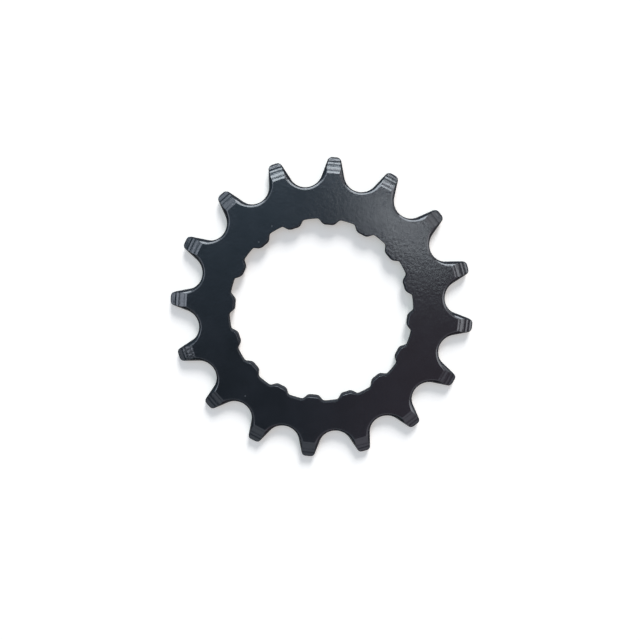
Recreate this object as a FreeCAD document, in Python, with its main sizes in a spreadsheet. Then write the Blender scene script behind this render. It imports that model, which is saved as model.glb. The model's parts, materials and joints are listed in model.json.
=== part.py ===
import FreeCAD, Part
import math
import os
import Sketcher
from FreeCAD import Vector

# A flat chain sprocket cut from one steel plate. It lies on its back face at Z = 0 with its axis along +Z,
# and one tooth and one spline lobe point along +X. Lengths are in millimetres, angles in degrees.

driving_sizes = {
    # Teeth, for a half-inch chain
    "chain_pitch": 12.7,
    "tooth_count": 16,
    "roller_diameter": 7.75,
    "seat_clearance": 0.055,
    "tooth_tip_height": 2.65,
    "tooth_tip_width": 2.66,
    "tooth_corner_radius": 1.2,
    # Plate
    "plate_thickness": 2.1,
    "tooth_edge_radius": 0.5,
    "bore_edge_radius": 0.45,
    "back_edge_radius": 0.15,
    # Bevels turned on both sides of the teeth
    "bevel_length": 3.75,
    "bevel_angle": 9.0,
    "tip_facet_length": 1.1,
    "tip_facet_angle": 16.0,
    "facet_step_width": 0.15,
    "facet_step_height": 0.01,
    # Splined bore
    "lobe_count": 16,
    "bore_diameter": 40.2,
    "lobe_height": 1.38,
    "lobe_crest_width": 2.36,
    "lobe_base_width": 4.9,
    "lobe_crest_radius": 1.4,
    "lobe_base_radius": 0.8,
    # How far a cut reaches past the metal that it removes
    "cut_margin": 2.0,
}

# What follows from the driving sizes
derived_sizes = {
    "half_tooth_turn": "=180 deg / sizes.tooth_count",
    "pitch_radius": "=sizes.chain_pitch / (2 * sin(half_tooth_turn))",
    "seat_radius": "=sizes.roller_diameter / 2 + sizes.seat_clearance",
    "tip_radius": "=pitch_radius + sizes.tooth_tip_height",
    "half_tip_width": "=sizes.tooth_tip_width / 2",
    "corner_radius": "=min(sizes.tooth_corner_radius; 0.6 * sizes.tooth_tip_width)",
    "bevel_start": "=tip_radius - sizes.bevel_length",
    "facet_start": "=tip_radius - sizes.tip_facet_length",
    "half_lobe_turn": "=180 deg / sizes.lobe_count",
    "bore_radius": "=sizes.bore_diameter / 2",
    "spline_radius": "=bore_radius + sizes.lobe_height",
    "ring_middle": "=(spline_radius + pitch_radius - seat_radius) / 2",
    "half_crest": "=sizes.lobe_crest_width / 2",
    "half_base": "=sizes.lobe_base_width / 2",
    "blank_radius": "=tip_radius + sizes.cut_margin",
    "blank_bore": "=bore_radius - sizes.cut_margin",
    "gap_mouth": "=tip_radius + 2 * sizes.cut_margin",
    "valley_mouth": "=bore_radius / 2",
    "head_room": "=sizes.plate_thickness + sizes.cut_margin",
}

doc = FreeCAD.newDocument("sprocket")


def fill_sheet(name, cells):
    sheet = doc.addObject("Spreadsheet::Sheet", name)
    for row, (alias, value) in enumerate(cells.items(), start=1):
        sheet.set(f"A{row}", alias)
        sheet.set(f"B{row}", str(value))
        sheet.setAlias(f"B{row}", alias)
    doc.recompute()
    return sheet


sizes = fill_sheet("sizes", driving_sizes)
derived = fill_sheet("derived", derived_sizes)

body = doc.addObject("PartDesign::Body", "sprocket")
body.Label = "sprocket"
origin_parts = {part.Role: part for part in body.Origin.OriginFeatures}

# Places on a sketch's elements, which are numbered from 1, and the sketch's own origin and X axis
start, end, centre = range(1, 4)
sketch_origin = (-1, 1)
sketch_x_axis = -1


def new_sketch(name, plane_role):
    sketch = body.newObject("Sketcher::SketchObject", name)
    sketch.AttachmentSupport = [(origin_parts[plane_role], "")]
    sketch.MapMode = "FlatFace"
    return sketch


def add_line(sketch, first, last, construction=False):
    return sketch.addGeometry(Part.LineSegment(first, last), construction)


def add_circle(sketch, radius):
    return sketch.addGeometry(Part.Circle(Vector(), Vector(0, 0, 1), radius))


# An arc that runs anticlockwise from first to last
def add_arc(sketch, middle, first, last):
    circle = Part.Circle(middle, Vector(0, 0, 1), first.distanceToPoint(middle))
    first_angle = math.atan2(first.y - middle.y, first.x - middle.x)
    last_angle = math.atan2(last.y - middle.y, last.x - middle.x)
    if last_angle < first_angle:
        last_angle += 2 * math.pi
    return sketch.addGeometry(Part.ArcOfCircle(circle, first_angle, last_angle))


def relate(sketch, kind, *places):
    sketch.addConstraint(Sketcher.Constraint(kind, *places))


def set_size(sketch, alias, kind, *places):
    sheet = derived if alias in derived_sizes else sizes
    value = float(getattr(sheet, alias))
    if kind == "Angle":
        value = math.radians(value)
    index = sketch.addConstraint(Sketcher.Constraint(kind, *places, value))
    sketch.renameConstraint(index, alias)
    sketch.setExpression(f"Constraints.{alias}", f"{sheet.Name}.{alias}")


# A sketch on the X axis is turned about the sprocket's axis by half the pitch of what it repeats
def turn_sketch(sketch, alias):
    sketch.AttachmentOffset = FreeCAD.Placement(Vector(), FreeCAD.Rotation(Vector(0, 0, 1), 1))
    sketch.setExpression("AttachmentOffset.Rotation.Angle", f"derived.{alias}")


def mirrored(point):
    return Vector(point.x, -point.y, 0)


def square_to(direction):
    return Vector(-direction.y, direction.x, 0)


# A point at the given distance from the axis, beside a line from the axis at the given turn
def beside(turn, distance, across):
    direction = Vector(math.cos(turn), math.sin(turn), 0)
    return direction * math.sqrt(distance ** 2 - across ** 2) - square_to(direction) * across


# Where a line meets a circle about the axis: side -1 is the first meeting and 1 the second
def meet_circle(point, direction, radius, side):
    middle = -point.dot(direction)
    half_chord = math.sqrt(radius ** 2 - point.dot(point) + middle ** 2)
    return point + direction * (middle + side * half_chord)


def check_cut(feature, volume_before):
    if feature.Shape.Volume >= volume_before:
        raise RuntimeError(f"{feature.Name} removes no metal")


def cut_around(name, sketch, count_alias):
    volume_before = body.Shape.Volume
    cut = body.newObject("PartDesign::Pocket", f"{name}_cut")
    cut.Profile = sketch
    cut.Type = "ThroughAll"
    cut.Reversed = True
    doc.recompute()
    check_cut(cut, volume_before)
    pattern = body.newObject("PartDesign::PolarPattern", f"{name}_pattern")
    pattern.Originals = [cut]
    pattern.Axis = (origin_parts["Z_Axis"], [""])
    pattern.Angle = 360
    pattern.setExpression("Occurrences", f"sizes.{count_alias}")
    body.Tip = pattern
    doc.recompute()
    check_cut(pattern, cut.Shape.Volume)


# The plate before it is cut: a ring that is a little too large and has a bore that is a little too small
def make_blank():
    sketch = new_sketch("blank_outline", "XY_Plane")
    rim = add_circle(sketch, derived.blank_radius)
    bore = add_circle(sketch, derived.blank_bore)
    relate(sketch, "Coincident", rim, centre, *sketch_origin)
    relate(sketch, "Coincident", bore, centre, *sketch_origin)
    set_size(sketch, "blank_radius", "Radius", rim)
    set_size(sketch, "blank_bore", "Radius", bore)
    plate = body.newObject("PartDesign::Pad", "plate")
    plate.Profile = sketch
    plate.setExpression("Length", "sizes.plate_thickness")
    doc.recompute()


# One tooth gap, from the middle of one tooth's tip to the next: a round seat for a chain roller,
# straight flanks that touch the seat, and rounded tip corners
def cut_teeth():
    turn = math.radians(derived.half_tooth_turn)
    seat_middle = Vector(derived.pitch_radius, 0, 0)
    tip_corner = beside(turn, derived.tip_radius, derived.half_tip_width)
    to_corner = tip_corner - seat_middle
    touch_turn = math.atan2(to_corner.y, to_corner.x) + math.acos(derived.seat_radius / to_corner.Length)
    touch = seat_middle + Vector(math.cos(touch_turn), math.sin(touch_turn), 0) * derived.seat_radius
    flank = (tip_corner - touch).normalize()
    inset = square_to(flank) * derived.corner_radius
    corner_middle = meet_circle(touch + inset, flank, derived.tip_radius - derived.corner_radius, 1)
    flank_end = corner_middle - inset
    tip_start = Vector(corner_middle).normalize() * derived.tip_radius
    tip_middle = beside(turn, derived.tip_radius, 0)
    mouth_corner = beside(turn, derived.gap_mouth / math.cos(turn), 0)
    chord_middle = tip_corner + square_to(tip_middle).normalize() * derived.half_tip_width

    sketch = new_sketch("tooth_gap", "XY_Plane")
    seat = add_arc(sketch, seat_middle, touch, mirrored(touch))
    upper_flank = add_line(sketch, touch, flank_end)
    upper_corner = add_arc(sketch, corner_middle, flank_end, tip_start)
    upper_tip = add_arc(sketch, Vector(), tip_start, tip_middle)
    upper_side = add_line(sketch, tip_middle, mouth_corner)
    mouth = add_line(sketch, mouth_corner, mirrored(mouth_corner))
    lower_side = add_line(sketch, mirrored(mouth_corner), mirrored(tip_middle))
    lower_tip = add_arc(sketch, Vector(), mirrored(tip_middle), mirrored(tip_start))
    lower_corner = add_arc(sketch, mirrored(corner_middle), mirrored(tip_start), mirrored(flank_end))
    lower_flank = add_line(sketch, mirrored(flank_end), mirrored(touch))
    tooth_axis = add_line(sketch, Vector(), chord_middle, construction=True)
    half_chord = add_line(sketch, chord_middle, tip_corner, construction=True)

    relate(sketch, "PointOnObject", seat, centre, sketch_x_axis)
    relate(sketch, "Tangent", seat, start, upper_flank, start)
    relate(sketch, "Tangent", upper_flank, end, upper_corner, start)
    relate(sketch, "Tangent", upper_corner, end, upper_tip, start)
    relate(sketch, "Coincident", upper_tip, centre, *sketch_origin)
    relate(sketch, "Coincident", upper_tip, end, upper_side, start)
    relate(sketch, "Coincident", upper_side, end, mouth, start)
    relate(sketch, "Coincident", mouth, end, lower_side, start)
    relate(sketch, "Coincident", lower_side, end, lower_tip, start)
    relate(sketch, "Coincident", lower_tip, centre, *sketch_origin)
    relate(sketch, "Tangent", lower_tip, end, lower_corner, start)
    relate(sketch, "Tangent", lower_corner, end, lower_flank, start)
    relate(sketch, "Tangent", lower_flank, end, seat, end)
    relate(sketch, "Equal", upper_corner, lower_corner)
    relate(sketch, "Equal", upper_tip, lower_tip)
    relate(sketch, "Vertical", seat, start, seat, end)
    relate(sketch, "Vertical", upper_tip, end, lower_tip, start)
    relate(sketch, "Symmetric", mouth, start, mouth, end, sketch_x_axis)
    relate(sketch, "Coincident", tooth_axis, start, *sketch_origin)
    relate(sketch, "PointOnObject", upper_side, start, tooth_axis)
    relate(sketch, "PointOnObject", upper_side, end, tooth_axis)
    relate(sketch, "Coincident", half_chord, start, tooth_axis, end)
    relate(sketch, "Perpendicular", tooth_axis, half_chord)
    relate(sketch, "PointOnObject", half_chord, end, upper_flank)
    relate(sketch, "PointOnObject", half_chord, end, upper_tip)
    set_size(sketch, "pitch_radius", "DistanceX", *sketch_origin, seat, centre)
    set_size(sketch, "seat_radius", "Radius", seat)
    set_size(sketch, "tip_radius", "Radius", upper_tip)
    set_size(sketch, "corner_radius", "Radius", upper_corner)
    set_size(sketch, "half_tooth_turn", "Angle", tooth_axis)
    set_size(sketch, "half_tip_width", "Distance", half_chord)
    set_size(sketch, "gap_mouth", "DistanceX", *sketch_origin, mouth, start)
    turn_sketch(sketch, "half_tooth_turn")
    cut_around("tooth", sketch, "tooth_count")


# One valley of the spline, from the middle of one lobe's crest to the next
def cut_spline():
    turn = math.radians(derived.half_lobe_turn)
    crest = beside(turn, derived.bore_radius, derived.half_crest)
    base = beside(turn, derived.spline_radius, derived.half_base)
    flank = (crest - base).normalize()
    base_inset = square_to(flank) * sizes.lobe_base_radius
    crest_inset = square_to(flank) * -sizes.lobe_crest_radius
    base_middle = meet_circle(crest + base_inset, flank, derived.spline_radius - sizes.lobe_base_radius, -1)
    crest_middle = meet_circle(base + crest_inset, flank, derived.bore_radius + sizes.lobe_crest_radius, -1)
    floor_end = Vector(base_middle).normalize() * derived.spline_radius
    flank_start = base_middle - base_inset
    flank_end = crest_middle - crest_inset
    crest_start = Vector(crest_middle).normalize() * derived.bore_radius
    lobe_middle = beside(turn, derived.bore_radius, 0)
    mouth_corner = beside(turn, derived.valley_mouth / math.cos(turn), 0)
    across = square_to(lobe_middle).normalize()
    crest_chord = crest + across * derived.half_crest
    base_chord = base + across * derived.half_base

    sketch = new_sketch("spline_valley", "XY_Plane")
    floor = add_arc(sketch, Vector(), mirrored(floor_end), floor_end)
    upper_base = add_arc(sketch, base_middle, floor_end, flank_start)
    upper_flank = add_line(sketch, flank_start, flank_end)
    upper_corner = add_arc(sketch, crest_middle, crest_start, flank_end)
    upper_crest = add_arc(sketch, Vector(), crest_start, lobe_middle)
    upper_side = add_line(sketch, lobe_middle, mouth_corner)
    mouth = add_line(sketch, mouth_corner, mirrored(mouth_corner))
    lower_side = add_line(sketch, mirrored(mouth_corner), mirrored(lobe_middle))
    lower_crest = add_arc(sketch, Vector(), mirrored(lobe_middle), mirrored(crest_start))
    lower_corner = add_arc(sketch, mirrored(crest_middle), mirrored(flank_end), mirrored(crest_start))
    lower_flank = add_line(sketch, mirrored(flank_end), mirrored(flank_start))
    lower_base = add_arc(sketch, mirrored(base_middle), mirrored(flank_start), mirrored(floor_end))
    lobe_axis = add_line(sketch, Vector(), base_chord, construction=True)
    half_crest = add_line(sketch, crest_chord, crest, construction=True)
    half_base = add_line(sketch, base_chord, base, construction=True)

    relate(sketch, "Coincident", floor, centre, *sketch_origin)
    relate(sketch, "Tangent", floor, end, upper_base, start)
    relate(sketch, "Tangent", upper_base, end, upper_flank, start)
    relate(sketch, "Tangent", upper_flank, end, upper_corner, end)
    relate(sketch, "Tangent", upper_corner, start, upper_crest, start)
    relate(sketch, "Coincident", upper_crest, centre, *sketch_origin)
    relate(sketch, "Coincident", upper_crest, end, upper_side, start)
    relate(sketch, "Coincident", upper_side, end, mouth, start)
    relate(sketch, "Coincident", mouth, end, lower_side, start)
    relate(sketch, "Coincident", lower_side, end, lower_crest, start)
    relate(sketch, "Coincident", lower_crest, centre, *sketch_origin)
    relate(sketch, "Tangent", lower_crest, end, lower_corner, end)
    relate(sketch, "Tangent", lower_corner, start, lower_flank, start)
    relate(sketch, "Tangent", lower_flank, end, lower_base, start)
    relate(sketch, "Tangent", lower_base, end, floor, start)
    relate(sketch, "Equal", upper_base, lower_base)
    relate(sketch, "Equal", upper_corner, lower_corner)
    relate(sketch, "Equal", upper_crest, lower_crest)
    relate(sketch, "Vertical", floor, start, floor, end)
    relate(sketch, "Vertical", upper_flank, end, lower_flank, start)
    relate(sketch, "Vertical", upper_crest, end, lower_crest, start)
    relate(sketch, "Symmetric", mouth, start, mouth, end, sketch_x_axis)
    relate(sketch, "Coincident", lobe_axis, start, *sketch_origin)
    relate(sketch, "PointOnObject", upper_side, start, lobe_axis)
    relate(sketch, "PointOnObject", upper_side, end, lobe_axis)
    relate(sketch, "PointOnObject", half_crest, start, lobe_axis)
    relate(sketch, "Perpendicular", lobe_axis, half_crest)
    relate(sketch, "PointOnObject", half_crest, end, upper_flank)
    relate(sketch, "PointOnObject", half_crest, end, upper_crest)
    relate(sketch, "Coincident", half_base, start, lobe_axis, end)
    relate(sketch, "Perpendicular", lobe_axis, half_base)
    relate(sketch, "PointOnObject", half_base, end, upper_flank)
    relate(sketch, "PointOnObject", half_base, end, floor)
    set_size(sketch, "spline_radius", "Radius", floor)
    set_size(sketch, "lobe_base_radius", "Radius", upper_base)
    set_size(sketch, "lobe_crest_radius", "Radius", upper_corner)
    set_size(sketch, "bore_radius", "Radius", upper_crest)
    set_size(sketch, "half_lobe_turn", "Angle", lobe_axis)
    set_size(sketch, "half_crest", "Distance", half_crest)
    set_size(sketch, "half_base", "Distance", half_base)
    set_size(sketch, "valley_mouth", "DistanceX", *sketch_origin, mouth, start)
    turn_sketch(sketch, "half_lobe_turn")
    cut_around("spline", sketch, "lobe_count")


# Every edge that lies level at the given height, between two distances from the axis, is rounded
def round_edges(name, height, radius_alias, nearest=0, farthest=math.inf):
    base = body.Tip
    names = []
    for place, edge in enumerate(base.Shape.Edges, start=1):
        box = edge.BoundBox
        level = max(abs(box.ZMin - height), abs(box.ZMax - height)) < 1e-6
        if level and nearest < math.hypot(box.Center.x, box.Center.y) < farthest:
            names.append(f"Edge{place}")
    fillet = body.newObject("PartDesign::Fillet", name)
    fillet.Base = (base, names)
    fillet.setExpression("Radius", f"sizes.{radius_alias}")
    body.Tip = fillet
    doc.recompute()


# The bevel on the face side of the teeth, as a section beside the axis: a long shallow slope, a narrow land
# where the turning tool changed, and a steeper facet over the tips. Its mirror image is on the back.
def turn_bevels():
    thickness = sizes.plate_thickness
    slope = math.tan(math.radians(sizes.bevel_angle))
    facet_slope = math.tan(math.radians(sizes.tip_facet_angle))
    crease_at = derived.facet_start - sizes.facet_step_width
    crease_height = thickness - slope * (crease_at - derived.bevel_start)
    facet_height = crease_height + sizes.facet_step_height
    rim_height = facet_height - facet_slope * (derived.blank_radius - derived.facet_start)
    corners = [
        Vector(derived.bevel_start, thickness, 0),
        Vector(crease_at, crease_height, 0),
        Vector(derived.facet_start, facet_height, 0),
        Vector(derived.blank_radius, rim_height, 0),
        Vector(derived.blank_radius, derived.head_room, 0),
        Vector(derived.bevel_start, derived.head_room, 0),
    ]

    sketch = new_sketch("bevel_section", "XZ_Plane")
    sides = [add_line(sketch, first, last) for first, last in zip(corners, corners[1:] + corners[:1])]
    bevel, step, facet, outside, above, inside = sides
    for first, last in zip(sides, sides[1:] + sides[:1]):
        relate(sketch, "Coincident", first, end, last, start)
    relate(sketch, "Vertical", outside)
    relate(sketch, "Horizontal", above)
    relate(sketch, "Vertical", inside)
    set_size(sketch, "plate_thickness", "DistanceY", *sketch_origin, bevel, start)
    set_size(sketch, "bevel_start", "DistanceX", *sketch_origin, bevel, start)
    set_size(sketch, "facet_start", "DistanceX", *sketch_origin, facet, start)
    set_size(sketch, "blank_radius", "DistanceX", *sketch_origin, facet, end)
    set_size(sketch, "head_room", "DistanceY", *sketch_origin, above, start)
    set_size(sketch, "facet_step_width", "DistanceX", step, start, step, end)
    set_size(sketch, "facet_step_height", "DistanceY", step, start, step, end)
    set_size(sketch, "bevel_angle", "Angle", bevel, end, sketch_x_axis, end)
    set_size(sketch, "tip_facet_angle", "Angle", facet, end, sketch_x_axis, end)
    volume_before = body.Shape.Volume
    face_bevel = body.newObject("PartDesign::Groove", "face_bevel")
    face_bevel.Profile = sketch
    face_bevel.ReferenceAxis = (origin_parts["Z_Axis"], [""])
    face_bevel.Angle = 360
    body.Tip = face_bevel
    doc.recompute()
    check_cut(face_bevel, volume_before)

    middle = body.newObject("PartDesign::Plane", "middle_plane")
    middle.AttachmentSupport = [(origin_parts["XY_Plane"], "")]
    middle.MapMode = "FlatFace"
    middle.setExpression("AttachmentOffset.Base.z", "sizes.plate_thickness / 2")
    back_bevel = body.newObject("PartDesign::Mirrored", "back_bevel")
    back_bevel.Originals = [face_bevel]
    back_bevel.MirrorPlane = (middle, [""])
    body.Tip = back_bevel
    doc.recompute()
    check_cut(back_bevel, face_bevel.Shape.Volume)


make_blank()
cut_teeth()
cut_spline()
round_edges("tooth_edges", sizes.plate_thickness, "tooth_edge_radius", nearest=derived.ring_middle)
round_edges("bore_edges", sizes.plate_thickness, "bore_edge_radius", farthest=derived.ring_middle)
round_edges("back_edges", 0, "back_edge_radius")
turn_bevels()

for item in doc.Objects:
    if "Invalid" in item.State or "Error" in item.State:
        raise RuntimeError(f"{item.Name} failed: {item.State}")
if body.Shape.isNull() or not body.Shape.isValid() or len(body.Shape.Solids) != 1:
    raise RuntimeError("the sprocket is not one valid solid")

os.makedirs("parts", exist_ok=True)
body.Shape.exportStep(f"parts/{body.Label}.step")
print(f"{body.Label}: {body.Shape.Volume:.2f} cubic mm, {body.Shape.BoundBox}")
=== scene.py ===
import bmesh
import bpy
import json
import math
from mathutils import Matrix, Vector


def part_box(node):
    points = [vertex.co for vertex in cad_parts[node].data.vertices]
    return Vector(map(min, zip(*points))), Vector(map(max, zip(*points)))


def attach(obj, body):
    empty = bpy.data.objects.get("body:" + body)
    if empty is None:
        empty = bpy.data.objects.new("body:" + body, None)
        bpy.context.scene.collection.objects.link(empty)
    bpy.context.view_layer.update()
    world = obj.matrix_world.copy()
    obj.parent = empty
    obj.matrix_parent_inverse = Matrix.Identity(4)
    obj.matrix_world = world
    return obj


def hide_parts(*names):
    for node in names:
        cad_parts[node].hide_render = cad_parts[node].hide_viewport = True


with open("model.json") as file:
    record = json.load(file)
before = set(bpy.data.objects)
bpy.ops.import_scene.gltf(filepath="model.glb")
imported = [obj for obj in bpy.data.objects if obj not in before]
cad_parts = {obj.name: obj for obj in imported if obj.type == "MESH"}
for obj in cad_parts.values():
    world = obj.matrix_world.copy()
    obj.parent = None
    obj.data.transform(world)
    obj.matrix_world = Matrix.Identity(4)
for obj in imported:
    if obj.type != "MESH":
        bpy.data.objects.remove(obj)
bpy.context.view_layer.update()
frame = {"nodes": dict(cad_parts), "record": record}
metresPerMm = 0.001
print("frame loaded:", list(frame["nodes"]))


def hexToLinear(hexColour):
    channels = [int(hexColour[i:i + 2], 16) / 255 for i in (1, 3, 5)]
    linear = [c / 12.92 if c <= 0.04045 else ((c + 0.055) / 1.055) ** 2.4 for c in channels]
    return (*linear, 1.0)


def addNode(tree, kind, inputs=None, **settings):
    node = tree.nodes.new(kind)
    for name, value in settings.items():
        setattr(node, name, value)
    for name, value in (inputs or {}).items():
        if isinstance(value, bpy.types.NodeSocket):
            tree.links.new(value, node.inputs[name])
        else:
            node.inputs[name].default_value = value
    return node


def startMaterial(name):
    material = bpy.data.materials.new(name)
    material.use_nodes = True
    material.node_tree.nodes.clear()
    return material, material.node_tree


# Runs from a material's colour to its pale colour over the middle of a noise
def addTint(tree, noise, look):
    tint = addNode(tree, "ShaderNodeValToRGB", {"Fac": noise.outputs["Fac"]})
    dark, pale = tint.color_ramp.elements
    dark.position = 0.35
    dark.color = hexToLinear(look["colour"])
    pale.position = 0.65
    pale.color = hexToLinear(look["paleColour"])
    return tint.outputs["Color"]


def perMetre(sizeMm):
    return 1 / (sizeMm * metresPerMm)


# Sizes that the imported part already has, in millimetres
mounts = {mount["name"]: mount for mount in frame["record"]["mounts"]}
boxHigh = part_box("sprocket")[1] / metresPerMm

plate = {
    "toothCount": mounts["chain_teeth"]["dims"]["count"],
    "pitchRadius": mounts["chain_teeth"]["dims"]["pcd_mm"] / 2,
    "tipRadius": boxHigh.x,
    "thickness": boxHigh.z,
    "boreRadius": mounts["splined_bore"]["dims"]["r_mm"],
    "seatRadius": 3.93,  # a 7.75 mm roller with a little room
    "tipWidth": 2.66,  # across the tooth, before its corners are rounded
    "tipCornerRadius": 1.2,
    "splineDepth": 1.38,
    "crestWidth": 2.36,
    "baseWidth": 4.9,
    "crestCornerRadius": 1.4,
    "baseCornerRadius": 0.8,
    # The blanking die drew the face side's edges down, most of all on the teeth: how far in, how far down
    "tipRound": (1.05, 0.75),
    "gapRound": (0.66, 0.34),
    "crestRound": (0.4, 0.26),
    "valleyRound": (0.08, 0.07),
    "roundGrowth": 1.5,  # over 1, it stays narrow in the gap and grows toward the flank
    "roundProfile": 0.37,  # flatter than a quarter circle
    "backRound": 0.15,
    "seatSteps": 16,
    "cornerSteps": 8,
    "arcSteps": 4,
    "faceRoundSteps": 8,
    "backRoundSteps": 3,
    "mergeDistance": 0.001,
    "smoothAngle": 24,  # degrees
}


def startOutline(name, point):
    bpy.ops.object.select_all(action="DESELECT")
    bpy.ops.mesh.primitive_plane_add(size=1)
    piece = bpy.context.object
    piece.name = name
    piece.data.name = name
    bpy.ops.object.mode_set(mode="EDIT")
    bpy.ops.mesh.select_mode(type="VERT")
    bpy.ops.mesh.merge(type="CENTER")  # one point is left to draw with
    bpy.ops.transform.translate(value=point)
    return piece


def drawLine(first, last):
    bpy.ops.mesh.extrude_region_move(TRANSFORM_OT_translate={"value": last - first})


def drawArc(centre, first, last, steps):
    turn = (first - centre).xy.angle_signed((last - centre).xy)
    bpy.ops.mesh.spin(steps=steps, angle=turn, center=centre, axis=(0, 0, 1))


def polar(radius, turn):
    return Vector((radius * math.cos(turn), radius * math.sin(turn), 0))


def onCircle(radius, across):
    return Vector((math.sqrt(radius ** 2 - across ** 2), across, 0))


def meetCircle(point, direction, radius, side):
    middle = -point.dot(direction)
    halfChord = math.sqrt(radius ** 2 - point.dot(point) + middle ** 2)
    return point + direction * (middle + side * halfChord)


def leftOf(direction):
    return Vector((-direction.y, direction.x, 0))


# Half of one tooth with its spline lobe, from the tooth's middle on +X to the middle of the gap
def drawHalfTooth(plate):
    halfPitch = math.pi / plate["toothCount"]
    seatCentre = polar(plate["pitchRadius"], halfPitch)
    rootMiddle = polar(plate["pitchRadius"] - plate["seatRadius"], halfPitch)
    tipMiddle = Vector((plate["tipRadius"], 0, 0))
    tipCorner = onCircle(plate["tipRadius"], plate["tipWidth"] / 2)
    toSeat = seatCentre - tipCorner
    flankTurn = math.atan2(toSeat.y, toSeat.x) + math.asin(plate["seatRadius"] / toSeat.length)
    flank = polar(1, flankTurn)  # from the tip down to the seat
    touch = tipCorner + flank * math.sqrt(toSeat.length_squared - plate["seatRadius"] ** 2)
    plate["flankFoot"] = touch.length  # how far out the straight flank starts
    inset = leftOf(flank) * plate["tipCornerRadius"]
    cornerCentre = meetCircle(touch + inset, -flank, plate["tipRadius"] - plate["tipCornerRadius"], 1)
    tipEnd = cornerCentre.normalized() * plate["tipRadius"]
    flankStart = cornerCentre - inset

    splineRadius = plate["boreRadius"] + plate["splineDepth"]
    crest = onCircle(plate["boreRadius"], plate["crestWidth"] / 2)
    base = onCircle(splineRadius, plate["baseWidth"] / 2)
    slope = (crest - base).normalized()  # from the valley in to the crest
    baseInset = -leftOf(slope) * plate["baseCornerRadius"]
    crestInset = leftOf(slope) * plate["crestCornerRadius"]
    baseCentre = meetCircle(crest + baseInset, -slope, splineRadius - plate["baseCornerRadius"], 1)
    crestCentre = meetCircle(base + crestInset, slope, plate["boreRadius"] + plate["crestCornerRadius"], -1)
    valleyMiddle = polar(splineRadius, halfPitch)
    valleyEnd = baseCentre.normalized() * splineRadius
    slopeStart = baseCentre - baseInset
    slopeEnd = crestCentre - crestInset
    crestEnd = crestCentre.normalized() * plate["boreRadius"]
    crestMiddle = Vector((plate["boreRadius"], 0, 0))

    axis = Vector((0, 0, 0))
    piece = startOutline("sprocketPlate", tipMiddle)
    drawArc(axis, tipMiddle, tipEnd, plate["arcSteps"])
    drawArc(cornerCentre, tipEnd, flankStart, plate["cornerSteps"])
    drawLine(flankStart, touch)
    drawArc(seatCentre, touch, rootMiddle, plate["seatSteps"])
    drawLine(rootMiddle, valleyMiddle)
    drawArc(axis, valleyMiddle, valleyEnd, plate["arcSteps"])
    drawArc(baseCentre, valleyEnd, slopeStart, plate["cornerSteps"])
    drawLine(slopeStart, slopeEnd)
    drawArc(crestCentre, slopeEnd, crestEnd, plate["cornerSteps"])
    drawArc(axis, crestEnd, crestMiddle, plate["arcSteps"])
    bpy.ops.mesh.select_all(action="SELECT")
    bpy.ops.mesh.edge_face_add()
    bpy.ops.object.mode_set(mode="OBJECT")
    return piece


def pickPiece(piece):
    bpy.ops.object.select_all(action="DESELECT")
    piece.select_set(True)
    bpy.context.view_layer.objects.active = piece


def applyModifier(piece, kind, **settings):
    modifier = piece.modifiers.new(kind.lower(), kind)
    for name, value in settings.items():
        setattr(modifier, name, value)
    pickPiece(piece)
    bpy.ops.object.modifier_apply(modifier=modifier.name)


def startEdit(piece, mode):
    pickPiece(piece)
    bpy.ops.object.mode_set(mode="EDIT")
    bpy.ops.mesh.select_mode(type=mode)
    bpy.ops.mesh.select_all(action="DESELECT")


def selectFaces(piece, test):
    mesh = bmesh.from_edit_mesh(piece.data)
    mesh.normal_update()
    chosen = [face for face in mesh.faces if test(face)]
    for face in chosen:
        face.select_set(True)
    mesh.select_flush_mode()
    bmesh.update_edit_mesh(piece.data)
    return len(chosen)


# Both halves, all the way round, made as thick as the plate
def buildPlate(plate):
    piece = drawHalfTooth(plate)
    merge = plate["mergeDistance"]
    applyModifier(piece, "MIRROR", use_axis=(False, True, False), merge_threshold=merge)
    startEdit(piece, "VERT")
    bpy.ops.mesh.select_all(action="SELECT")
    copies = plate["toothCount"] - 1
    bpy.ops.mesh.spin(steps=copies, dupli=True, angle=math.tau * copies / plate["toothCount"],
                      center=(0, 0, 0), axis=(0, 0, 1))
    bpy.ops.mesh.select_all(action="SELECT")
    bpy.ops.mesh.remove_doubles(threshold=merge)
    bpy.ops.mesh.extrude_region_move(TRANSFORM_OT_translate={"value": (0, 0, plate["thickness"])})
    bpy.ops.mesh.select_all(action="SELECT")
    bpy.ops.mesh.normals_make_consistent(inside=False)
    bpy.ops.object.mode_set(mode="OBJECT")
    print("plate drawn:", len(piece.data.polygons), "faces")
    return piece


# How far in and down an edge of the face side is drawn: most on the teeth, least in the spline's valleys
def edgeRound(place, plate):
    distance = place.xy.length
    gapBottom = plate["pitchRadius"] - plate["seatRadius"]
    splineRadius = plate["boreRadius"] + plate["splineDepth"]
    if distance < (gapBottom + splineRadius) / 2:
        share = (distance - plate["boreRadius"]) / plate["splineDepth"]
        inner, outer = Vector(plate["crestRound"]), Vector(plate["valleyRound"])
    else:
        share = max((distance - gapBottom) / (plate["flankFoot"] - gapBottom), 0) ** plate["roundGrowth"]
        inner, outer = Vector(plate["gapRound"]), Vector(plate["tipRound"])
    return inner.lerp(outer, min(max(share, 0), 1))


# Stretches what lies under the face, so that an even round becomes one wider than it is deep, or undoes it
def stretchDepth(piece, plate, undo):
    for vert in piece.data.vertices:
        inward, down = edgeRound(vert.co, plate)
        stretch = down / inward if undo else inward / down
        vert.co.z = plate["thickness"] + (vert.co.z - plate["thickness"]) * stretch


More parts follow.
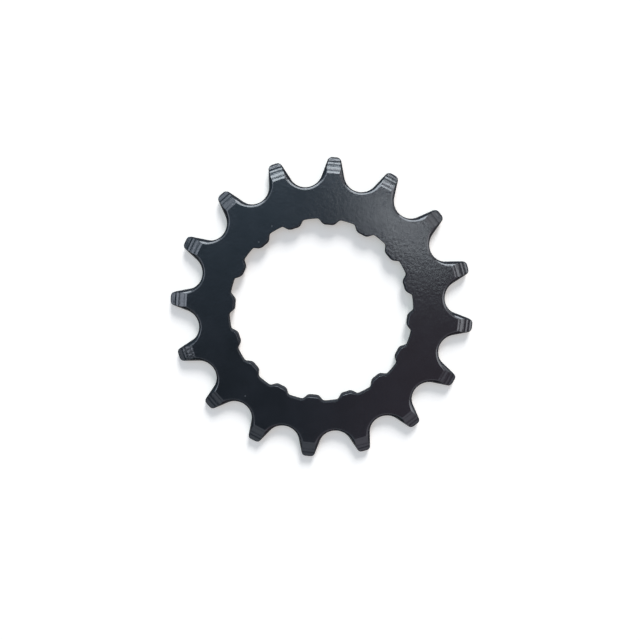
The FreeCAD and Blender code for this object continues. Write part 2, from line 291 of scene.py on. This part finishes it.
# Gives each edge between an upright wall and a face its share of the round to come
def weighEdges(piece, shareOf):
    startEdit(piece, "EDGE")
    mesh = bmesh.from_edit_mesh(piece.data)
    mesh.normal_update()
    layers = mesh.edges.layers.float
    weight = layers.get("bevel_weight_edge") or layers.new("bevel_weight_edge")
    count = 0
    for edge in mesh.edges:
        facing = sorted((face.normal.z for face in edge.link_faces), key=abs)
        rim = len(facing) == 2 and abs(facing[0]) < 0.2 and abs(facing[1]) > 0.5
        middle = (edge.verts[0].co + edge.verts[1].co) / 2
        edge[weight] = shareOf(middle, facing[1]) if rim else 0
        count += edge[weight] > 0
    bmesh.update_edit_mesh(piece.data)
    bpy.ops.object.mode_set(mode="OBJECT")
    print("edges to round:", count)


def roundFace(piece, plate):
    widest = plate["tipRound"][0]
    weighEdges(piece, lambda place, facing: edgeRound(place, plate)[0] / widest if facing > 0 else 0)
    stretchDepth(piece, plate, False)
    applyModifier(piece, "BEVEL", width=widest, segments=plate["faceRoundSteps"], limit_method="WEIGHT",
                  profile=plate["roundProfile"], use_clamp_overlap=False)
    stretchDepth(piece, plate, True)


def roundBack(piece, plate):
    weighEdges(piece, lambda place, facing: facing < 0)
    applyModifier(piece, "BEVEL", width=plate["backRound"], segments=plate["backRoundSteps"],
                  limit_method="WEIGHT", use_clamp_overlap=False)


turning = {
    "length": 3.75,  # the slope of each tooth, measured in from its tip
    "slope": 10,  # degrees
    # The tool's passes, outward: length, how much steeper at first than at last, and the land after,
    # with its width and slope
    "passes": ((0.5, 3, 0.12, 4), (1.15, 6, 0.2, 2), (0.55, 6, 0.28, -2)),
    "passSteps": 4,
    "tipFacetSlope": 16,
    "breakWidth": 0.36,  # the ends of the teeth, where the sharp edge was taken off
    "breakSlope": 50,
    "steepest": 20,  # between the facet's slope and the break's
    "around": 192,
    "airAbove": 0.6,  # how far the cuts reach past the metal, up and out
    "airBeyond": 2,
    "runOut": 0.25,  # the plate did not sit quite true on the lathe
    "runOutTurn": math.radians(25),
    "mergeDistance": 0.0001,
    "sliverSize": 0.0005,
}


# How deep the lathe cuts, as (radius, depth) outward from where the slope starts
def turnedProfile(plate, turning):
    steps = []  # length and slope
    for length, hollow, landWidth, landSlope in turning["passes"]:
        for i in range(turning["passSteps"]):
            lean = hollow * (1 - (2 * i + 1) / turning["passSteps"])
            steps.append((length / turning["passSteps"], turning["slope"] + lean))
        steps.append((landWidth, landSlope))
    facetLength = turning["length"] - sum(length for length, slope in steps)
    steps.append((facetLength - turning["breakWidth"], turning["tipFacetSlope"]))
    steps.append((turning["airBeyond"], turning["tipFacetSlope"]))
    profile = [(plate["tipRadius"] - turning["length"], 0)]
    for length, slope in steps:
        radius, depth = profile[-1]
        profile.append((radius + length, depth + length * math.tan(math.radians(slope))))
    return profile


# A ring of air under a profile, to be taken off the outer ends of the teeth on one face
def buildRing(name, profile, front, offset):
    outline = [(profile[0][0], -turning["airAbove"]), *profile, (profile[-1][0], -turning["airAbove"])]
    points = []
    for radius, depth in outline:
        points.append(Vector((radius, 0, plate["thickness"] - depth if front else depth)))
    ring = startOutline(name, points[0])
    for first, last in zip(points, points[1:] + points[:1]):
        drawLine(first, last)
    bpy.ops.mesh.select_all(action="SELECT")
    bpy.ops.mesh.remove_doubles(threshold=turning["mergeDistance"])
    bpy.ops.mesh.select_all(action="SELECT")
    bpy.ops.mesh.spin(steps=turning["around"], angle=math.tau, center=(0, 0, 0), axis=(0, 0, 1))
    bpy.ops.mesh.select_all(action="SELECT")
    bpy.ops.mesh.remove_doubles(threshold=turning["mergeDistance"])
    bpy.ops.mesh.normals_make_consistent(inside=False)
    bpy.ops.transform.translate(value=offset)
    bpy.ops.object.mode_set(mode="OBJECT")
    return ring


def turnTeeth(piece, plate, turning):
    turned = turnedProfile(plate, turning)
    radius, depth = turned[-2]  # where the facet ends
    breakDepth = math.tan(math.radians(turning["breakSlope"]))
    broken = [(radius, depth), (radius + 1, depth + breakDepth)]
    runOut = polar(turning["runOut"], turning["runOutTurn"])
    cuts = (("turnedRing", turned, runOut), ("brokenRing", broken, Vector((0, 0, 0))))
    for name, profile, offset in cuts:
        for front in (True, False):
            ring = buildRing(name, profile, front, offset)
            applyModifier(piece, "BOOLEAN", object=ring, operation="DIFFERENCE", solver="EXACT")
            bpy.data.objects.remove(ring)
    startEdit(piece, "VERT")
    bpy.ops.mesh.select_all(action="SELECT")
    bpy.ops.mesh.remove_doubles(threshold=turning["sliverSize"])
    bpy.ops.mesh.dissolve_degenerate(threshold=turning["sliverSize"])
    bpy.ops.mesh.select_all(action="DESELECT")
    bpy.ops.mesh.select_non_manifold()
    print("teeth turned, open edges:", sum(edge.select for edge in bmesh.from_edit_mesh(piece.data).edges))
    bpy.ops.object.mode_set(mode="OBJECT")


# Turned faces lean straight out from the axis, by no more than the tip facet does
def isTurned(face):
    place = face.calc_center_median() / metresPerMm
    outward = Vector((place.x, place.y, 0)).normalized()
    sideways = abs(face.normal.dot(leftOf(outward)))
    upward = abs(face.normal.z)
    outside = place.xy.length > plate["tipRadius"] - turning["length"] - turning["runOut"]
    leaning = math.cos(math.radians(turning["steepest"])) < upward <= 0.99999
    return outside and leaning and sideways < 0.02


# Smooth rounds and flat passes, in metres
def finishShape(piece, plate):
    startEdit(piece, "FACE")
    bpy.ops.mesh.select_all(action="SELECT")
    bpy.ops.transform.resize(value=(metresPerMm,) * 3, center_override=(0, 0, 0))
    bpy.ops.mesh.normals_make_consistent(inside=False)
    bpy.ops.object.mode_set(mode="OBJECT")
    bpy.ops.object.shade_smooth_by_angle(angle=math.radians(plate["smoothAngle"]), keep_sharp_edges=True)
    startEdit(piece, "FACE")
    count = selectFaces(piece, isTurned)
    bpy.ops.mesh.faces_shade_flat()
    bpy.ops.object.mode_set(mode="OBJECT")
    print("turned faces:", count)
    applyModifier(piece, "WEIGHTED_NORMAL", mode="FACE_AREA", weight=50, keep_sharp=True)


sprocket = buildPlate(plate)
roundFace(sprocket, plate)
roundBack(sprocket, plate)
turnTeeth(sprocket, plate, turning)
finishShape(sprocket, plate)
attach(sprocket, "root")
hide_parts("sprocket")
print("sprocket:", len(sprocket.data.polygons), "faces")

coat = {
    "colour": "#14171b",
    "paleColour": "#181b20",
    "roughness": 0.17,
    "roughnessSpread": 0.015,
    "peelSize": 0.6,  # of the little waves in the sprayed coat, in mm
    "peelHeight": 0.021,
    "mottleSize": 6,
}
dust = {
    "colour": "#484b4e",
    "size": 0.45,  # of each grain, in mm
    "places": ((-12.8, 18.68), (-16.01, -21.52), (-15.49, 14.83)),
}
marks = {
    "length": 1.8,  # of the streaks along the cut, in mm
    "width": 0.3,
    "height": 0.01,
}


# Satin black coat over steel: near-black body, a soft blurred shine and a fine pebbled grain, with a few
# grains of dust. On the bevels it also lies over the turning marks, whose streaks break up the shine.
def buildCoat(name, coat, marks=None):
    material, tree = startMaterial(name)
    place = addNode(tree, "ShaderNodeTexCoord").outputs["Object"]
    mottle = addNode(tree, "ShaderNodeTexNoise", {
        "Vector": place, "Scale": perMetre(coat["mottleSize"]), "Detail": 3, "Roughness": 0.6})
    gloss = addNode(tree, "ShaderNodeMapRange", {
        "Value": mottle.outputs["Fac"], "From Min": 0.3, "From Max": 0.7,
        "To Min": coat["roughness"] - coat["roughnessSpread"],
        "To Max": coat["roughness"] + coat["roughnessSpread"]})
    peel = addNode(tree, "ShaderNodeTexNoise", {
        "Vector": place, "Scale": perMetre(coat["peelSize"]), "Detail": 2, "Roughness": 0.5})
    bump = addNode(tree, "ShaderNodeBump", {
        "Height": peel.outputs["Fac"], "Strength": 1, "Distance": coat["peelHeight"] * metresPerMm})
    if marks:
        bump = addNode(tree, "ShaderNodeBump", {
            "Height": addMarks(tree, place, marks), "Strength": 1,
            "Distance": marks["height"] * metresPerMm, "Normal": bump.outputs["Normal"]})
    shader = addNode(tree, "ShaderNodeBsdfPrincipled", {
        "Base Color": addDust(tree, place, addTint(tree, mottle, coat), dust),
        "Roughness": gloss.outputs["Result"], "IOR": 1.5, "Normal": bump.outputs["Normal"]})
    addNode(tree, "ShaderNodeOutputMaterial", {"Surface": shader.outputs["BSDF"]})
    return material


# A few pale grains on the face
def addDust(tree, place, body, dust):
    for x, y in dust["places"]:
        grain = Vector((x, y, plate["thickness"])) * metresPerMm
        away = addNode(tree, "ShaderNodeVectorMath", {0: place, 1: grain}, operation="DISTANCE")
        cover = addNode(tree, "ShaderNodeMapRange", {
            "Value": away.outputs["Value"], "From Min": dust["size"] * metresPerMm / 2,
            "From Max": dust["size"] * metresPerMm / 4})
        body = addNode(tree, "ShaderNodeMixRGB", {
            "Fac": cover.outputs["Result"], "Color1": body,
            "Color2": hexToLinear(dust["colour"])}).outputs["Color"]
    return body


# Noise drawn out round the axis: long along the cut, short from the axis out
def addMarks(tree, place, marks):
    level = addNode(tree, "ShaderNodeVectorMath", {0: place, 1: (1, 1, 0)}, operation="MULTIPLY")
    level = level.outputs["Vector"]
    heading = addNode(tree, "ShaderNodeVectorMath", {0: level}, operation="NORMALIZE").outputs["Vector"]
    around = addNode(tree, "ShaderNodeVectorMath", {
        0: heading, "Scale": plate["pitchRadius"] / marks["length"]}, operation="SCALE").outputs["Vector"]
    distance = addNode(tree, "ShaderNodeVectorMath", {0: level}, operation="LENGTH").outputs["Value"]
    across = addNode(tree, "ShaderNodeMath", {
        0: distance, 1: perMetre(marks["width"])}, operation="MULTIPLY").outputs["Value"]
    across = addNode(tree, "ShaderNodeCombineXYZ", {"Z": across}).outputs["Vector"]
    drawn = addNode(tree, "ShaderNodeVectorMath", {0: around, 1: across}, operation="ADD").outputs["Vector"]
    return addNode(tree, "ShaderNodeTexNoise", {"Vector": drawn, "Scale": 1, "Detail": 1}).outputs["Fac"]


wall = {
    "colour": "#1c1f24",
    "paleColour": "#262a30",
    "roughness": 0.75,
    "shine": 0.1,
    "tearSize": 0.35,  # of the scores that the blanking punch leaves down the walls, in mm
    "tearHeight": 0.004,
    "tearStretch": (1, 1, 0.15),
    "steepness": 0.75,  # a face is wall where it faces up or down less than this
    "boreSteepness": 0.93,  # the bore's sharper edges are sheared further up
}


# The same coat over sheared steel: matt, with fine upright scores, so that the walls stay dark
def buildWall(wall):
    material, tree = startMaterial("mattBlackShearedEdge")
    place = addNode(tree, "ShaderNodeTexCoord").outputs["Object"]
    flat = addNode(tree, "ShaderNodeVectorMath", {0: place, 1: wall["tearStretch"]}, operation="MULTIPLY")
    scores = addNode(tree, "ShaderNodeTexNoise", {
        "Vector": flat.outputs["Vector"], "Scale": perMetre(wall["tearSize"]), "Detail": 3})
    bump = addNode(tree, "ShaderNodeBump", {
        "Height": scores.outputs["Fac"], "Strength": 1, "Distance": wall["tearHeight"] * metresPerMm})
    shader = addNode(tree, "ShaderNodeBsdfPrincipled", {
        "Base Color": addTint(tree, scores, wall), "Roughness": wall["roughness"],
        "Specular IOR Level": wall["shine"], "Normal": bump.outputs["Normal"]})
    addNode(tree, "ShaderNodeOutputMaterial", {"Surface": shader.outputs["BSDF"]})
    return material


def isWall(face):
    splineRadius = (plate["boreRadius"] + plate["splineDepth"]) * metresPerMm
    inBore = face.calc_center_median().xy.length < splineRadius + plate["crestRound"][0] * metresPerMm
    return abs(face.normal.z) < wall["boreSteepness" if inBore else "steepness"]


def coatSprocket(piece):
    piece.data.materials.clear()
    piece.data.materials.append(buildCoat("satinBlackCoat", coat))
    piece.data.materials.append(buildCoat("satinBlackTurnedBevel", coat, marks))
    piece.data.materials.append(buildWall(wall))
    startEdit(piece, "FACE")
    for slot, test in ((1, isTurned), (2, isWall)):
        bpy.ops.mesh.select_all(action="DESELECT")
        selectFaces(piece, test)
        piece.active_material_index = slot
        bpy.ops.object.material_slot_assign()
    bpy.ops.object.mode_set(mode="OBJECT")


coatSprocket(sprocket)
print("coat made")

view = {
    "place": Vector((3.85, 19.92, 140.57)),  # as the photograph is turned, in mm
    "turn": math.radians(5.09),  # the part is turned this much from the photograph's upright
    "lens": 34.34,
    "sensor": 36,
    "shift": (-0.00136, -0.0128),
}
toPart = Matrix.Rotation(view["turn"], 3, "Z")
middle = Vector((0, 0, plate["thickness"] / 2)) * metresPerMm


def lookFrom(thing, place, upward):
    backward = (place - middle).normalized()
    side = upward.cross(backward).normalized()
    turn = Matrix((side, backward.cross(side), backward)).transposed()
    thing.matrix_world = Matrix.Translation(place) @ turn.to_4x4()


def addCamera(view):
    bpy.ops.object.select_all(action="DESELECT")
    bpy.ops.object.camera_add()
    camera = bpy.context.object
    camera.name = "photoCamera"
    camera.data.lens = view["lens"]
    camera.data.sensor_width = view["sensor"]
    camera.data.shift_x, camera.data.shift_y = view["shift"]
    camera.data.clip_start = 0.001  # metres
    lookFrom(camera, middle + toPart @ view["place"] * metresPerMm, toPart @ Vector((0, 1, 0)))
    bpy.context.scene.camera = camera


addCamera(view)
print("camera placed")

floor = {
    "size": 4,  # metres
    "drop": 0.00001,  # just clear of the part's back
    "colour": "#e6e6e6",
    "glow": 0.36,  # what the white paper shows by itself, so that the shadow stays pale
    "glowColour": "#fffdf1",
}


# White paper: matt, and pale enough by itself to keep the shadow light
def addFloor(floor):
    bpy.ops.object.select_all(action="DESELECT")
    bpy.ops.mesh.primitive_plane_add(size=floor["size"])
    paper = bpy.context.object
    paper.name = "paper"
    bpy.ops.object.mode_set(mode="EDIT")
    bpy.ops.mesh.select_all(action="SELECT")
    bpy.ops.transform.translate(value=(0, 0, -floor["drop"]))
    bpy.ops.object.mode_set(mode="OBJECT")
    material, tree = startMaterial("whitePaper")
    rays = addNode(tree, "ShaderNodeLightPath").outputs
    seen = rays["Is Camera Ray"]
    for name in ("Is Glossy Ray", "Is Transmission Ray"):
        seen = addNode(tree, "ShaderNodeMath", {0: seen, 1: rays[name]}, operation="ADD").outputs["Value"]
    glow = addNode(tree, "ShaderNodeMath", {0: seen, 1: floor["glow"]}, operation="MULTIPLY")
    shader = addNode(tree, "ShaderNodeBsdfPrincipled", {
        "Base Color": hexToLinear(floor["colour"]), "Roughness": 1, "Specular IOR Level": 0,
        "Emission Color": hexToLinear(floor["glowColour"]), "Emission Strength": glow.outputs["Value"]})
    addNode(tree, "ShaderNodeOutputMaterial", {"Surface": shader.outputs["BSDF"]})
    paper.data.materials.append(material)


addFloor(floor)
print("floor laid")

sun = {"from": (13, 65), "strength": 4.2, "spread": 20, "colour": "#fffdfa"}
# Pale cards around the part, which only its shine shows: direction as (turn from the photograph's top
# to the right, lean from upright) in degrees, brightness, and size as (across, down) in degrees
cards = {
    # A lamp overhead, dimmer toward its two ends, which lie along one line
    "ceilingTube": {
        "from": (77.4, 7), "brightness": 10.8, "size": (2.6, 7), "colour": "#eff8ff", "along": -46},
    "tubeFarEnd": {
        "from": (30.4, 6), "brightness": 3.6, "size": (2.6, 3.5), "colour": "#e8f8ff", "along": -46},
    "tubeNearEnd": {
        "from": (101.3, 10.9), "brightness": 4.8, "size": (2.6, 3.5), "colour": "#e8faff", "along": -46},
    "skyCard": {"from": (-4, 15), "brightness": 1.6, "size": (24, 12), "colour": "#cee8ff"},
    "topCard": {"from": (-2, 26), "brightness": 14.5, "size": (37, 12), "colour": "#eef8ff"},
    "windowCard": {"from": (0, 48), "brightness": 12, "size": (72, 20), "colour": "#eef6ff"},
    "cornerCard": {"from": (-55, 34), "brightness": 2.7, "size": (24, 28), "colour": "#e8f0ff"},
    "leftCard": {"from": (-98, 38), "brightness": 5, "size": (23, 22), "colour": "#e8f0ff"},
    "sideCard": {"from": (58, 31), "brightness": 2.2, "size": (16, 24), "colour": "#f4f8ff"},
    "rightCard": {"from": (93, 45), "brightness": 4.3, "size": (30, 28), "colour": "#f4f8ff"},
    "lowCard": {"from": (78, 66), "brightness": 2.2, "size": (44, 18), "colour": "#f4f8ff"},
    "nearCard": {"from": (180, 43), "brightness": 1.05, "size": (118, 32), "colour": "#eaf2ff"},
}


def fromPhoto(turn, lean):
    turn, lean = math.radians(turn), math.radians(lean)
    outward = math.sin(lean)
    return toPart @ Vector((math.sin(turn) * outward, math.cos(turn) * outward, math.cos(lean)))


def addLight(kind, name, light):
    bpy.ops.object.select_all(action="DESELECT")
    bpy.ops.object.light_add(type=kind)
    lamp = bpy.context.object
    lamp.name = name
    lamp.data.color = hexToLinear(light["colour"])[:3]
    upward = fromPhoto(light["along"], 90) if "along" in light else Vector((0, 0, 1))
    lookFrom(lamp, middle + fromPhoto(*light["from"]), upward)  # a metre away
    return lamp


def addLamps(sun, cards):
    lamp = addLight("SUN", "softSun", sun)
    lamp.data.energy = sun["strength"]
    lamp.data.angle = math.radians(sun["spread"])
    lamp.visible_glossy = False
    for name, light in cards.items():
        lamp = addLight("AREA", name, light)
        lamp.data.shape = "RECTANGLE"
        lamp.data.size, lamp.data.size_y = (2 * math.tan(math.radians(side / 2)) for side in light["size"])
        lamp.data.energy = light["brightness"] * math.pi * lamp.data.size * lamp.data.size_y
        lamp.visible_diffuse = False


addLamps(sun, cards)
print("lamps placed:", 1 + len(cards))

room = {
    # Overhead, as the photograph is turned
    "farLeft": "#a2c8e4",
    "farRight": "#bcbac5",
    "nearLeft": "#596976",
    "nearRight": "#ae97a6",
    "sideways": (-0.1, 0.12),  # where left turns to right
    "upward": (-0.25, 0.1),  # where near turns to far
    "horizonShare": 0.3,
    "horizonLow": 0.1,
    "horizonTop": 0.75,
}


# A dim room, bluish on the photograph's left and greyer on its right, and darker low down
def addRoom(room):
    world = bpy.data.worlds.new("dimRoom")
    bpy.context.scene.world = world
    world.use_nodes = True
    tree = world.node_tree
    tree.nodes.clear()
    place = addNode(tree, "ShaderNodeTexCoord").outputs["Generated"]
    shares = {}
    for name, along in (("sideways", Vector((1, 0, 0))), ("upward", Vector((0, 1, 0)))):
        reach = addNode(tree, "ShaderNodeVectorMath", {0: place, 1: toPart @ along}, operation="DOT_PRODUCT")
        low, high = room[name]
        shares[name] = addNode(tree, "ShaderNodeMapRange", {
            "Value": reach.outputs["Value"], "From Min": low, "From Max": high},
            interpolation_type="SMOOTHSTEP").outputs["Result"]
    rows = []
    for left, right in (("nearLeft", "nearRight"), ("farLeft", "farRight")):
        row = addNode(tree, "ShaderNodeMixRGB", {
            "Fac": shares["sideways"], "Color1": hexToLinear(room[left]), "Color2": hexToLinear(room[right])})
        rows.append(row.outputs["Color"])
    tint = addNode(tree, "ShaderNodeMixRGB", {"Fac": shares["upward"], "Color1": rows[0], "Color2": rows[1]})
    height = addNode(tree, "ShaderNodeSeparateXYZ", {"Vector": place}).outputs["Z"]
    level = addNode(tree, "ShaderNodeMapRange", {
        "Value": height, "From Min": room["horizonLow"], "From Max": room["horizonTop"],
        "To Min": room["horizonShare"]})
    background = addNode(tree, "ShaderNodeBackground", {
        "Color": tint.outputs["Color"], "Strength": level.outputs["Result"]})
    addNode(tree, "ShaderNodeOutputWorld", {"Surface": background.outputs["Background"]})


addRoom(room)
bpy.context.scene.view_settings.view_transform = "Standard"
print("room made")
